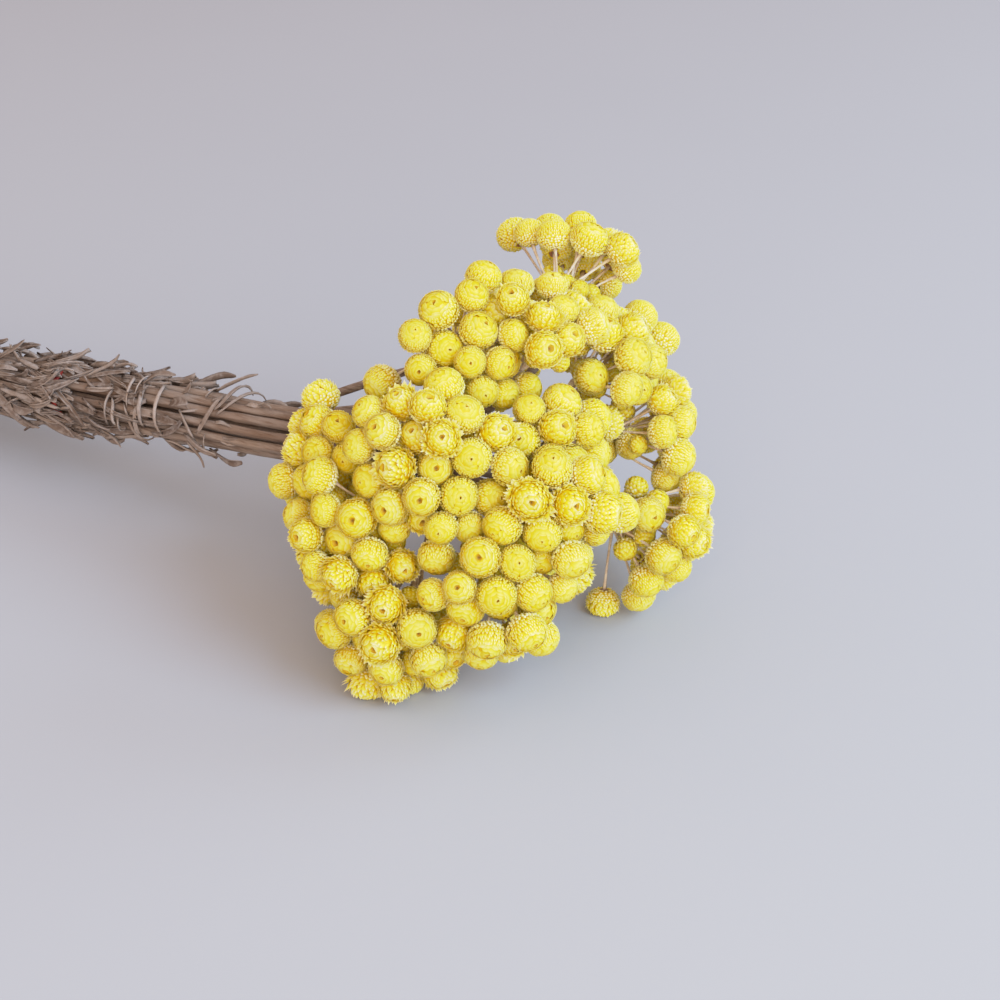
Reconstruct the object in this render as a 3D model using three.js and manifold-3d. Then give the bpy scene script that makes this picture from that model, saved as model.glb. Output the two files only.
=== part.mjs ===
// Dried strawflower bunch lying on its side, in millimetres, +Z up.
// Sixteen cut sprays lie together along X, cut ends at -X and flowers at +X, and a thin elastic
// band holds them. A spray is a woody stem with withered leaves and, on its end, the blooms: a
// branched corymb of button heads whose papery bracts stand in rings round a small hole.
// The bunch rests on its lowest heads and on the cut end of its lowest stem.

import * as THREE from 'three';
import { mergeVertices } from 'three/addons/utils/BufferGeometryUtils.js';
import Module from 'manifold-3d';

const wasm = await Module();
wasm.setup();
const { Manifold, Mesh } = wasm;

const { degToRad } = THREE.MathUtils;

// Bundle of stems

const SLOPE = degToRad(7); // rise of the bundle from the cut ends to the flowers
const THROAT = new THREE.Vector3(0, 0, 34.7); // middle of the bundle where the stems part
const STEM_LENGTH = 212; // throat to the longest cut end
const STEM_TRIM = 14; // how much shorter the shortest cut is
const LOWEST_SLOT = 264; // the stem there keeps its full length, and the bunch rests on it
const STEM_RADIUS = 1.35;
const STEM_TIP_RADIUS = 1.05;
const STEM_SIDES = 5;
const STEM_STEPS = { bundled: 3, parted: 5 };
const ROWS = [0, 3.05, 6.1]; // one stem, five round it, ten outside
const LOOSENING = 0.22; // how far the rows open towards the cut ends, as a share
const PARTING = 0.06; // outward lean of a stem at the throat, per millimetre from the middle

// Corymbs

const HEART = 50; // throat to the middle of the flower mass
const NECK = 4; // length of the stalk under a corymb's first fork
const JOINT_GAP = 0.3; // between a stem's tip and the blooms
const FORK = 0.42; // where a stalk forks into pedicels, as a share of the way to the heads
const STALK_RADIUS = { neck: 1.0, branch: 0.75, pedicel: 0.42 };
const KNOT_RADIUS = { neck: 1.8, umbel: 1.52 }; // swelling where a stalk forks
const HEAD_RADIUS = { least: 3.85, range: 1.0 };
const HEAD_STEP = 4.55; // spacing of heads on a corymb's crown
const AWAY = { least: 0.94, range: 0.12 }; // fork to head, as a share of the fan
const UMBEL = { middle: 0.22, least: 3, size: 5 }; // share and number of the middle heads, others
const GOLDEN_ANGLE = Math.PI * (3 - Math.sqrt(5));

// Flower head: two rings of pointed bracts, larger than life, round a dimple. The outline is in
// radii of the head, from its widest ring over the tips to the dimple.

const HEAD_OUTLINE = [[0.97, -0.06], [0.7, 0.62], [0, 0.42]];
const PEDICEL_TOP = -0.76;
const BRACTS = 6;

// Settling of the heads against each other

const ROUNDS = 120;
const CLEARING_ROUNDS = 70; // the last rounds also clear heads from other sprays' pedicels
const FREE_ROUNDS = 25; // the last rounds no longer pull heads back to their corymb
const NEIGHBOUR_GAP = 0.35; // between heads of two sprays
const PEDICEL_ROOM = 1.05; // from a head's edge to the middle of another spray's pedicel
const PUSH = 0.45; // share of an overlap that each of two heads gives way in a round
const PEDICEL_PULL = 0.3; // share of a wrong pedicel length that is put right in a round
const CROWN_PULL = { head: 0.018, stray: 0.25 }; // share of the way home in a round
const SEAT = 0.88; // height of a resting head's middle, as a share of its radius

// Leaves: places along the bundle are counted from the throat, angles are in degrees from it

const LEAF = { width: 2.8, thick: 1.1, shortest: 13, range: 9 };
const LEAF_WIDTHS = [0.35, 0.55, 1, 0]; // at the root, collar, bend and tip, as a share
const LEAF_RISE = { least: 16, range: 18 };
const LEAF_CURL = { least: -22, range: 60 };
const LEAF_PLACES = { first: 6, range: 10, pace: 36, last: -16 };
const LEAF_COLLAR = { along: 1.2, out: 1.35 }; // how the leaf's foot clasps the stem

// Elastic band

const BAND = { place: -86, width: 2.4, thick: 1.0, clearance: 0.5, leafless: 7 };

// Resting: the table flattens what would reach into it

const PRESSED = 1.1; // depth of the flat spots that the bunch rests on
const TABLE = { length: 600, width: 300, thick: 40 };
const FINEST_EDGE = 0.02; // shorter edges of the joined solids are merged away

// Lean and around give a corymb's place as seen from the heart of the flower mass: lean from
// the bundle's line, around it from the far side over the top. Reach is the way from the heart
// to the crown of the corymb, fan the length of its stalks, turn a push on the way it faces.
// Row and slot are the stem's place in the bundle, and part is set on a stem that leaves it early.

const SPRAYS = [
  { lean: 74, around: 47, reach: 66, fan: 27, heads: 13, turn: [-0.25, 0.25, 0], row: 2, slot: 44 },
  { lean: 60, around: 73, reach: 52, fan: 25, heads: 11, turn: [0, 0, 0], row: 2, slot: 74 },
  { lean: 66, around: 99, reach: 43, fan: 27, heads: 17, turn: [0.45, -0.2, -0.42], row: 2, slot: 104,
    part: 1.4 },
  { lean: 66, around: 151, reach: 47, fan: 28, heads: 23, turn: [0, 0, 0], row: 2, slot: 134 },
  { lean: 118, around: 158, reach: 43, fan: 22, heads: 13, turn: [0, 0, 0], row: 2, slot: 163 },
  { lean: 22, around: 112, reach: 42, fan: 23, heads: 10, turn: [0, 0, 0], row: 0, slot: 0 },
  { lean: 27, around: 172, reach: 54, fan: 25, heads: 13, turn: [0, 0, 0], row: 1, slot: 160 },
  { lean: 94, around: 183, reach: 49, fan: 26, heads: 17, turn: [0, 0, 0], row: 2, slot: 190,
    part: 0.45 },
  { lean: 81, around: 208, reach: 58, fan: 29, heads: 20, turn: [0, 0, 0], row: 2, slot: 229 },
  { lean: 48, around: 199, reach: 57, fan: 29, heads: 17, turn: [0, 0, 0], row: 1, slot: 224 },
  { lean: 42, around: 6, reach: 57, fan: 26, heads: 14, turn: [0, 0, 0], row: 1, slot: 352 },
  { lean: 51, around: 37, reach: 54, fan: 26, heads: 13, turn: [0, -0.05, 0.05], row: 1, slot: 56 },
  { lean: 33, around: 318, reach: 62, fan: 28, heads: 15, turn: [0, -0.1, 0], row: 1, slot: 290 },
  { lean: 112, around: 16, reach: 44, fan: 23, heads: 10, turn: [0, 0, 0], row: 2, slot: 14 },
  { lean: 50, around: 272, reach: 39, fan: 22, heads: 9, turn: [0, 0, 0], row: 2, slot: 264 },
  { lean: 86, around: 330, reach: 51, fan: 25, heads: 11, turn: [0, 0, 0], row: 2, slot: 328 },
];

// Single heads that stand out of their corymb on longer pedicels

const STRAYS = [
  { spray: 12, lean: 55, around: 290, reach: 53.3, radius: 4.2 },
  { spray: 12, lean: 47, around: 295, reach: 58.3, radius: 4.4 },
  { spray: 0, lean: 92, around: 51, reach: 62.5, radius: 4.5 },
  { spray: 0, lean: 88, around: 44, reach: 68, radius: 4.3 },
  { spray: 2, lean: 101, around: 121, reach: 34.5, radius: 4.9 },
  { spray: 11, lean: 58, around: 23, reach: 63, radius: 4.6 },
  { spray: 11, lean: 42, around: 51, reach: 42.3, radius: 4.5 },
  { spray: 5, lean: 33, around: 24, reach: 39.7, radius: 4.4 },
  { spray: 12, lean: 19, around: 319, reach: 50.7, radius: 4.4 },
  { spray: 6, lean: 5, around: 200, reach: 50.8, radius: 4.8 },
  { spray: 11, lean: 60, around: 31, reach: 60.6, radius: 4.5 },
  { spray: 3, lean: 62, around: 183, reach: 46, radius: 4.5 },
  { spray: 10, lean: 37, around: 0, reach: 43.9, radius: 4.2 },
  { spray: 10, lean: 40, around: 358, reach: 38.5, radius: 4.1 },
];

const COLOURS = { blooms: 0xead94e, stem: 0x8a7464, band: 0xb5392f };

const ALONG = new THREE.Vector3(Math.cos(SLOPE), 0, Math.sin(SLOPE));
const ACROSS = new THREE.Vector3(0, 1, 0);
const UPWARD = new THREE.Vector3(-Math.sin(SLOPE), 0, Math.cos(SLOPE));
const MIDDLE = THROAT.clone().addScaledVector(ALONG, HEART);

// Repeatable random numbers from 0 to 1

function seeded(seed) {
  let state = seed;
  return () => {
    state = (state + 0x6d2b79f5) | 0;
    let mixed = Math.imul(state ^ (state >>> 15), state | 1);
    mixed ^= mixed + Math.imul(mixed ^ (mixed >>> 7), mixed | 61);
    return ((mixed ^ (mixed >>> 14)) >>> 0) / 4294967296;
  };
}

function around(degrees) {
  const angle = degToRad(degrees);
  return ACROSS.clone().multiplyScalar(Math.cos(angle)).addScaledVector(UPWARD, Math.sin(angle));
}

function toward(lean, turn) {
  const angle = degToRad(lean);
  return ALONG.clone().multiplyScalar(Math.cos(angle)).addScaledVector(around(turn), Math.sin(angle));
}

function sideways(facing) {
  const upright = new THREE.Vector3(0, 0, 1);
  const first = new THREE.Vector3().crossVectors(facing, upright).normalize();
  return [first, new THREE.Vector3().crossVectors(facing, first)];
}

// Layout of the flower mass

function placeSpray(values, index) {
  const out = toward(values.lean, values.around);
  const crown = MIDDLE.clone().addScaledVector(out, values.reach);
  const facing = out.add(new THREE.Vector3(...values.turn)).normalize();
  const fork = crown.clone().addScaledVector(facing, -values.fan);
  return { ...values, index, crown, facing, fork };
}

function placeHeads(spray) {
  const random = seeded(101 + spray.index * 17);
  const [first, second] = sideways(spray.facing);
  const heads = [];
  for (let i = 0; i < spray.heads; i += 1) {
    const radius = HEAD_RADIUS.least + HEAD_RADIUS.range * random();
    const off = (HEAD_STEP * Math.sqrt(i + 0.35)) / spray.fan;
    const turn = i * GOLDEN_ANGLE + spray.index;
    const away = spray.fan * (AWAY.least + AWAY.range * random());
    const place = spray.fork.clone()
      .addScaledVector(spray.facing, away * Math.cos(off))
      .addScaledVector(first, away * Math.sin(off) * Math.cos(turn))
      .addScaledVector(second, away * Math.sin(off) * Math.sin(turn));
    heads.push({ spray, place, radius, away, home: spray.crown, pull: CROWN_PULL.head });
  }
  return heads;
}

function placeStray(values, sprays) {
  const spray = sprays[values.spray];
  const home = MIDDLE.clone().addScaledVector(toward(values.lean, values.around), values.reach);
  const away = home.distanceTo(spray.fork);
  const { radius } = values;
  return { spray, place: home.clone(), radius, away, home, pull: CROWN_PULL.stray };
}

function pushApart(heads) {
  heads.forEach((head, i) => {
    for (const other of heads.slice(i + 1)) {
      const apart = other.place.clone().sub(head.place);
      const gap = head.spray === other.spray ? 0 : NEIGHBOUR_GAP;
      const wanted = head.radius + other.radius + gap;
      const found = apart.length();
      if (found < wanted) {
        apart.multiplyScalar((PUSH * (wanted - found)) / found);
        head.place.sub(apart);
        other.place.add(apart);
      }
    }
  });
}

function clearPedicels(heads) {
  for (const owner of heads) {
    const root = owner.spray.fork.clone().lerp(owner.place, FORK);
    const pedicel = owner.place.clone().sub(root);
    for (const head of heads) {
      if (head.spray !== owner.spray) {
        const reach = head.place.clone().sub(root);
        const along = Math.max(0, reach.dot(pedicel) / pedicel.lengthSq());
        const off = reach.addScaledVector(pedicel, -along);
        const wanted = head.radius + PEDICEL_ROOM;
        const found = off.length();
        if (along <= 1 && found < wanted) {
          off.multiplyScalar((PUSH * (wanted - found)) / found);
          head.place.add(off);
          owner.place.addScaledVector(off, -along);
        }
      }
    }
  }
}

function pullHome(head) {
  const out = head.place.clone().sub(head.spray.fork);
  out.multiplyScalar((PEDICEL_PULL * (head.away - out.length())) / out.length());
  const back = head.home.clone().sub(head.place).multiplyScalar(head.pull);
  head.place.add(out).add(back);
}

function settle(heads) {
  for (let round = 0; round < ROUNDS; round += 1) {
    pushApart(heads);
    if (round > ROUNDS - CLEARING_ROUNDS) {
      clearPedicels(heads);
    }
    for (const head of heads) {
      if (round <= ROUNDS - FREE_ROUNDS) {
        pullHome(head);
      }
      head.place.z = Math.max(head.place.z, head.radius * SEAT);
    }
  }
}

// Umbels: the middle heads of a corymb share one fork, the outer ones go in groups round it

function forkHeads(spray, heads) {
  const [first, second] = sideways(spray.facing);
  const lean = (head) => head.place.clone().sub(spray.fork).angleTo(spray.facing);
  const turn = (head) => {
    const out = head.place.clone().sub(spray.fork);
    return Math.atan2(out.dot(second), out.dot(first));
  };
  const byLean = [...heads].sort((a, b) => lean(a) - lean(b));
  const middle = Math.max(UMBEL.least, Math.round(heads.length * UMBEL.middle));
  const outer = byLean.slice(middle).sort((a, b) => turn(a) - turn(b));
  const count = Math.max(2, Math.round(outer.length / UMBEL.size));
  const groups = [byLean.slice(0, middle)];
  for (let i = 0; i < count; i += 1) {
    const from = Math.round((i * outer.length) / count);
    groups.push(outer.slice(from, Math.round(((i + 1) * outer.length) / count)));
  }
  return groups.map((members) => {
    const mean = new THREE.Vector3();
    members.forEach((head) => mean.addScaledVector(head.place, 1 / members.length));
    return { fork: spray.fork.clone().lerp(mean, FORK), members };
  });
}

// Solids for joining

function solidOf(geometry) {
  const bare = geometry.index ? geometry.clone() : geometry;
  bare.deleteAttribute('normal');
  bare.deleteAttribute('uv');
  const merged = mergeVertices(bare);
  const corners = merged.index.array;
  const kept = [];
  for (let i = 0; i < corners.length; i += 3) {
    const [a, b, c] = corners.slice(i, i + 3);
    if (a !== b && b !== c && c !== a) {
      kept.push(a, b, c);
    }
  }
  const vertProperties = Float32Array.from(merged.attributes.position.array);
  return new Manifold(new Mesh({ numProp: 3, vertProperties, triVerts: Uint32Array.from(kept) }));
}

function geometryOf(solid) {
  const mesh = solid.simplify(FINEST_EDGE).getMesh();
  const geometry = new THREE.BufferGeometry();
  geometry.setAttribute('position', new THREE.BufferAttribute(mesh.vertProperties, 3));
  geometry.setIndex(new THREE.BufferAttribute(mesh.triVerts, 1));
  return geometry;
}

function rod(from, to, radius, sides) {
  const out = to.clone().sub(from);
  const geometry = new THREE.CylinderGeometry(radius, radius, out.length(), sides, 1);
  const turn = new THREE.Quaternion().setFromUnitVectors(ACROSS, out.clone().normalize());
  geometry.applyQuaternion(turn);
  const middle = from.clone().lerp(to, 0.5);
  return solidOf(geometry.translate(middle.x, middle.y, middle.z));
}

// A rod bent along a line, with its section given by a function of the way along

function bentRod(line, steps, sides, section, side = null) {
  const geometry = new THREE.CylinderGeometry(1, 1, 1, sides, steps);
  const frames = line.computeFrenetFrames(steps, false);
  const spots = geometry.attributes.position;
  for (let i = 0; i < spots.count; i += 1) {
    const step = Math.round((0.5 - spots.getY(i)) * steps);
    const [wide, thick] = section(step / steps);
    const first = side ? side : frames.normals[step];
    const second = new THREE.Vector3().crossVectors(frames.tangents[step], first).normalize();
    const spot = line.getPointAt(step / steps)
      .addScaledVector(first, spots.getX(i) * wide)
      .addScaledVector(second, spots.getZ(i) * thick);
    spots.setXYZ(i, spot.x, spot.y, spot.z);
  }
  return solidOf(geometry);
}

const table = solidOf(
  new THREE.BoxGeometry(TABLE.length, TABLE.width, TABLE.thick)
    .translate(0, 0, PRESSED - TABLE.thick / 2),
);

// Flower head on its pedicel. The pedicel's rings keep three corners, the bracts' rings six.

function headSolid(head, root, spin) {
  const facing = head.place.clone().sub(root);
  const low = -facing.length();
  const thin = STALK_RADIUS.pedicel;
  const outline = HEAD_OUTLINE.map(([out, up]) => [out * head.radius, up * head.radius]);
  const profile = [[0, low], [thin, low], [thin, PEDICEL_TOP * head.radius], ...outline];
  const points = profile.map(([out, up]) => new THREE.Vector2(out, up));
  const geometry = new THREE.LatheGeometry(points, BRACTS);
  const spots = geometry.attributes.position;
  for (let i = 0; i < spots.count; i += 1) {
    const ring = i % profile.length;
    const step = Math.floor(i / profile.length) % BRACTS;
    const pedicelStep = 2 * Math.floor(step / 2) + 0.5;
    const place = ring < 3 ? pedicelStep : step + 0.5 * (ring - 3);
    const angle = (place / BRACTS) * 2 * Math.PI;
    const out = profile[ring][0];
    spots.setXYZ(i, out * Math.sin(angle), spots.getY(i), out * Math.cos(angle));
  }
  geometry.rotateY(spin);
  const turn = new THREE.Quaternion().setFromUnitVectors(ACROSS, facing.normalize());
  geometry.applyQuaternion(turn);
  return solidOf(geometry.translate(head.place.x, head.place.y, head.place.z));
}

function knot(place, radius) {
  return solidOf(new THREE.OctahedronGeometry(radius).translate(place.x, place.y, place.z));
}

function bloomsSolid(spray, heads) {
  const random = seeded(503 + spray.index * 13);
  const foot = spray.fork.clone().addScaledVector(spray.facing, JOINT_GAP - NECK);
  const pieces = [
    rod(foot, spray.fork, STALK_RADIUS.neck, STEM_SIDES),
    knot(spray.fork, KNOT_RADIUS.neck),
  ];
  for (const umbel of forkHeads(spray, heads)) {
    pieces.push(rod(spray.fork, umbel.fork, STALK_RADIUS.branch, 3));
    pieces.push(knot(umbel.fork, KNOT_RADIUS.umbel));
    for (const head of umbel.members) {
      pieces.push(headSolid(head, umbel.fork, random() * Math.PI));
    }
  }
  return Manifold.union(pieces).subtract(table);
}

// Stem: straight in the bundle, then bent out to its corymb

function bundlePoint(spray, along) {
  const back = Math.max(0, -along) / STEM_LENGTH;
  const spread = ROWS[spray.row] * (1 + LOOSENING * back * back);
  return THROAT.clone().addScaledVector(ALONG, along).addScaledVector(around(spray.slot), spread);
}

function stemLine(spray, cut) {
  const points = [];
  for (let i = 0; i < STEM_STEPS.bundled; i += 1) {
    points.push(bundlePoint(spray, -cut * (1 - i / STEM_STEPS.bundled)));
  }
  const start = bundlePoint(spray, 0);
  const tip = spray.fork.clone().addScaledVector(spray.facing, -NECK);
  const end = tip.clone().addScaledVector(spray.facing, -STEM_RADIUS);
  const span = start.distanceTo(end);
  const spread = spray.part ?? PARTING * ROWS[spray.row];
  const part = ALONG.clone().addScaledVector(around(spray.slot), spread);
  const leave = start.clone().addScaledVector(part.normalize(), span * 0.3);
  const arrive = end.clone().addScaledVector(spray.facing, -span * 0.25);
  const parted = new THREE.CubicBezierCurve3(start, leave, arrive, end);
  return new Corners([...points, ...parted.getPoints(STEM_STEPS.parted), tip]);
}

// Polyline with each corner kept, so that a stem's steps fall on its points

class Corners extends THREE.Curve {
  constructor(points) {
    super();
    this.points = points;
  }

  getPoint(t) {
    const place = t * (this.points.length - 1);
    const from = Math.min(Math.floor(place), this.points.length - 2);
    return this.points[from].clone().lerp(this.points[from + 1], place - from);
  }

  getPointAt(t) {
    return this.getPoint(t);
  }

  getTangentAt(t) {
    const reach = 0.5 / (this.points.length - 1);
    const ahead = this.getPoint(Math.min(1, t + reach));
    return ahead.sub(this.getPoint(Math.max(0, t - reach))).normalize();
  }
}

// Leaf: a keeled blade that leaves the outer side of its stem and curls

function leafSolid(spray, place, random) {
  const out = around(spray.slot);
  const side = new THREE.Vector3().crossVectors(ALONG, out);
  const long = LEAF.shortest + LEAF.range * random();
  const rise = degToRad(LEAF_RISE.least + LEAF_RISE.range * random());
  const curl = degToRad(LEAF_CURL.least + LEAF_CURL.range * random());
  const root = bundlePoint(spray, place);
  const collar = root.clone()
    .addScaledVector(ALONG, LEAF_COLLAR.along)
    .addScaledVector(out, LEAF_COLLAR.out * STEM_RADIUS);
  const bend = collar.clone()
    .addScaledVector(ALONG, 0.5 * long * Math.cos(rise))
    .addScaledVector(out, 0.5 * long * Math.sin(rise));
  const tip = bend.clone()
    .addScaledVector(ALONG, 0.5 * long * Math.cos(curl))
    .addScaledVector(out, 0.5 * long * Math.sin(curl))
    .addScaledVector(side, random() - 0.5);
  const lowest = PRESSED + LEAF.thick;
  bend.z = Math.max(bend.z, lowest);
  tip.z = Math.max(tip.z, lowest);
  const section = (t) => {
    const share = LEAF_WIDTHS[Math.round(3 * t)];
    return [0.5 * LEAF.width * share, 0.6 * LEAF.thick * Math.sqrt(share)];
  };
  return bentRod(new Corners([root, collar, bend, tip]), 3, 3, section, side);
}

function leafPlaces(cut, random) {
  const places = [];
  let place = -cut + LEAF_PLACES.first + LEAF_PLACES.range * random();
  while (place < LEAF_PLACES.last) {
    if (Math.abs(place + BAND.width - BAND.place) > BAND.leafless) {
      places.push(place);
    }
    place += LEAF_PLACES.pace * (0.7 + 0.6 * random());
  }
  return places;
}

function stemSolid(spray) {
  const random = seeded(901 + spray.index * 29);
  const cut = STEM_LENGTH - (spray.slot === LOWEST_SLOT ? 0 : STEM_TRIM * random());
  const line = stemLine(spray, cut);
  const steps = line.points.length - 1;
  const section = (t) => {
    const radius = THREE.MathUtils.lerp(STEM_RADIUS, STEM_TIP_RADIUS, t * t);
    return [radius, radius];
  };
  const pieces = [bentRod(line, steps, STEM_SIDES, section)];
  if (spray.row === 2) {
    leafPlaces(cut, random).forEach((place) => pieces.push(leafSolid(spray, place, random)));
  }
  return Manifold.union(pieces).subtract(table);
}

// Elastic band round all the stems

function bandGeometry() {
  const inner = bundlePoint({ row: 2, slot: 0 }, BAND.place)
    .sub(THROAT).addScaledVector(ALONG, -BAND.place).length() + STEM_RADIUS + BAND.clearance;
  const outer = inner + BAND.thick;
  const half = BAND.width / 2;
  const profile = [[inner, -half], [outer, -half], [outer, half], [inner, half], [inner, -half]];
  const points = profile.map(([out, up]) => new THREE.Vector2(out, up));
  const geometry = new THREE.LatheGeometry(points, 18);
  geometry.applyQuaternion(new THREE.Quaternion().setFromUnitVectors(ACROSS, ALONG));
  const place = THROAT.clone().addScaledVector(ALONG, BAND.place);
  return geometryOf(solidOf(geometry.translate(place.x, place.y, place.z)));
}

// Bunch

function piece(name, geometry, colour, roughness) {
  const material = new THREE.MeshStandardMaterial({ color: colour, roughness, metalness: 0 });
  const mesh = new THREE.Mesh(geometry, material);
  mesh.name = name;
  return mesh;
}

function makeBunch() {
  const sprays = SPRAYS.map(placeSpray);
  const strays = STRAYS.map((values) => placeStray(values, sprays));
  const heads = sprays.flatMap(placeHeads).concat(strays);
  settle(heads);
  const bunch = new THREE.Group();
  for (const spray of sprays) {
    const number = String(spray.index + 1).padStart(2, '0');
    const own = heads.filter((head) => head.spray === spray);
    const stem = geometryOf(stemSolid(spray));
    const blooms = geometryOf(bloomsSolid(spray, own));
    bunch.add(piece(`spray_${number}_stem`, stem, COLOURS.stem, 0.85));
    bunch.add(piece(`spray_${number}_blooms`, blooms, COLOURS.blooms, 0.6));
  }
  bunch.add(piece('binding_band', bandGeometry(), COLOURS.band, 0.7));
  const box = new THREE.Box3().setFromObject(bunch);
  const centre = box.getCenter(new THREE.Vector3());
  bunch.position.set(-centre.x, -centre.y, -box.min.z);
  return bunch;
}

export default makeBunch();
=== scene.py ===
import math
import random

import bmesh
import bpy
import numpy as np
from mathutils import Matrix, Vector


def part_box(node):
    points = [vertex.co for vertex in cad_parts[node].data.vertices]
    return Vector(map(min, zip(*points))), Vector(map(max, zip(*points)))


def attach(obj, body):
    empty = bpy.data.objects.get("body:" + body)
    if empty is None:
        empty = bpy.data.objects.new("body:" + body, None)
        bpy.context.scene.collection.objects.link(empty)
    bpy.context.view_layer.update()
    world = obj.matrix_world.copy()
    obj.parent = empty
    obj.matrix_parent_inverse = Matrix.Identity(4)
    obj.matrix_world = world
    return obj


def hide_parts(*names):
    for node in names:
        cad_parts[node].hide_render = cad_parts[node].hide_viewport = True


# Dried strawflower bunch: bracts, stalks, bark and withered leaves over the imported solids.
# The layout is the one that the solids were made from, in millimetres and degrees. Meshes are
# in metres.

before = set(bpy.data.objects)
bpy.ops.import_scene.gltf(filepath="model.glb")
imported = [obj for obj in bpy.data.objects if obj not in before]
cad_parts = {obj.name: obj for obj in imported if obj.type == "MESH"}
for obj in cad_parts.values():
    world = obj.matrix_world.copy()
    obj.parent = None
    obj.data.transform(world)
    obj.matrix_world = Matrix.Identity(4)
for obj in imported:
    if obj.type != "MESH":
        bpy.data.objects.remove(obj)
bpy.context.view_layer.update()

MM = 0.001

# Bundle of stems

SLOPE = math.radians(7)
THROAT = np.array([0.0, 0.0, 34.7])
STEM_LENGTH = 212
STEM_TRIM = 14
LOWEST_SLOT = 264
STEM_RADIUS = 1.35
STEM_TIP_RADIUS = 1.05
ROWS = [0, 3.05, 6.1]
LOOSENING = 0.22
PARTING = 0.06

# Where a stem leaves the bundle and bends to its corymb

BUNDLED_POINTS, PARTED_POINTS = 34, 16
LEAVING, ARRIVING = 0.3, 0.25

# Corymbs

HEART = 50
NECK = 4
FORK = 0.42
NECK_RADIUS = 1.0
BRANCH_RADIUS = 0.72
PEDICEL_RADIUS = 0.4
HEAD_RADIUS = (3.85, 1.0)
HEAD_STEP = 4.55
HEAD_FIRST = 0.35
HEAD_SEED, HEAD_SEED_STEP = 101, 17
LEAF_SEED, LEAF_SEED_STEP = 901, 29
AWAY = (0.94, 0.12)
UMBEL_SHARE, UMBEL_LEAST, UMBEL_SIZE = 0.22, 3, 5
GOLDEN_ANGLE = math.pi * (3 - math.sqrt(5))

# Settling of the heads against each other

ROUNDS = 120
CLEARING_ROUNDS = 70
FREE_ROUNDS = 25
NEIGHBOUR_GAP = 0.35
PEDICEL_ROOM = 1.05
PUSH = 0.45
PEDICEL_PULL = 0.3
CROWN_PULL = (0.018, 0.25)
SEAT = 0.88
PRESSED = 1.1

# Leaves and band

LEAF_WIDTH = 2.8
LEAF_LENGTH = (13, 9)
LEAF_RISE = (16, 18)
LEAF_CURL = (-22, 60)
LEAF_FIRST = (6, 10)
LEAF_STEP = 36
LEAF_STEP_SHARE = (0.7, 0.6)
LEAF_LAST = -16
LEAF_COLLAR = (1.2, 1.35)
BAND_PLACE, BAND_WIDTH, BAND_LEAFLESS = -86, 2.4, 7

# Each spray: lean, around, reach, fan, heads, turn, row, slot and how steeply its stem parts

SPRAYS = [
    (74, 47, 66, 27, 13, (-0.25, 0.25, 0), 2, 44, None),
    (60, 73, 52, 25, 11, (0, 0, 0), 2, 74, None),
    (66, 99, 43, 27, 17, (0.45, -0.2, -0.42), 2, 104, 1.4),
    (66, 151, 47, 28, 23, (0, 0, 0), 2, 134, None),
    (118, 158, 43, 22, 13, (0, 0, 0), 2, 163, None),
    (22, 112, 42, 23, 10, (0, 0, 0), 0, 0, None),
    (27, 172, 54, 25, 13, (0, 0, 0), 1, 160, None),
    (94, 183, 49, 26, 17, (0, 0, 0), 2, 190, 0.45),
    (81, 208, 58, 29, 20, (0, 0, 0), 2, 229, None),
    (48, 199, 57, 29, 17, (0, 0, 0), 1, 224, None),
    (42, 6, 57, 26, 14, (0, 0, 0), 1, 352, None),
    (51, 37, 54, 26, 13, (0, -0.05, 0.05), 1, 56, None),
    (33, 318, 62, 28, 15, (0, -0.1, 0), 1, 290, None),
    (112, 16, 44, 23, 10, (0, 0, 0), 2, 14, None),
    (50, 272, 39, 22, 9, (0, 0, 0), 2, 264, None),
    (86, 330, 51, 25, 11, (0, 0, 0), 2, 328, None),
]
SPRAY_VALUES = ("lean", "around", "reach", "fan", "heads", "turn", "row", "slot", "part")

# Stray heads: spray, lean, around, reach and radius

STRAYS = [
    (12, 55, 290, 53.3, 4.2),
    (12, 47, 295, 58.3, 4.4),
    (0, 92, 51, 62.5, 4.5),
    (0, 88, 44, 68, 4.3),
    (2, 101, 121, 34.5, 4.9),
    (11, 58, 23, 63, 4.6),
    (11, 42, 51, 42.3, 4.5),
    (5, 33, 24, 39.7, 4.4),
    (12, 19, 319, 50.7, 4.4),
    (6, 5, 200, 50.8, 4.8),
    (11, 60, 31, 60.6, 4.5),
    (3, 62, 183, 46, 4.5),
    (10, 37, 0, 43.9, 4.2),
    (10, 40, 358, 38.5, 4.1),
]

ALONG = np.array([math.cos(SLOPE), 0, math.sin(SLOPE)])
ACROSS = np.array([0.0, 1.0, 0.0])
UPWARD = np.array([-math.sin(SLOPE), 0, math.cos(SLOPE)])
MIDDLE = THROAT + ALONG * HEART


def seeded(seed):
    """Repeatable random numbers from 0 to 1, the same that the solids were laid out with."""
    state = seed
    whole = 0xFFFFFFFF

    def draw():
        nonlocal state
        state = (state + 0x6D2B79F5) & whole
        mixed = ((state ^ (state >> 15)) * (state | 1)) & whole
        mixed ^= (mixed + ((mixed ^ (mixed >> 7)) * (mixed | 61) & whole)) & whole
        return ((mixed ^ (mixed >> 14)) & whole) / (whole + 1)

    return draw


def unit(direction):
    return direction / np.linalg.norm(direction)


def around(degrees):
    """The direction at right angles to the bundle, turned from level round it."""
    angle = math.radians(degrees)
    return ACROSS * math.cos(angle) + UPWARD * math.sin(angle)


def toward(lean, turn):
    """The direction that leans away from the bundle's line, towards a turn round it."""
    angle = math.radians(lean)
    return ALONG * math.cos(angle) + around(turn) * math.sin(angle)


def sideways(facing):
    """Two directions at right angles to the one given and to each other."""
    first = unit(np.cross(facing, [0, 0, 1]))
    return first, np.cross(facing, first)


# Layout of the flower mass


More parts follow.
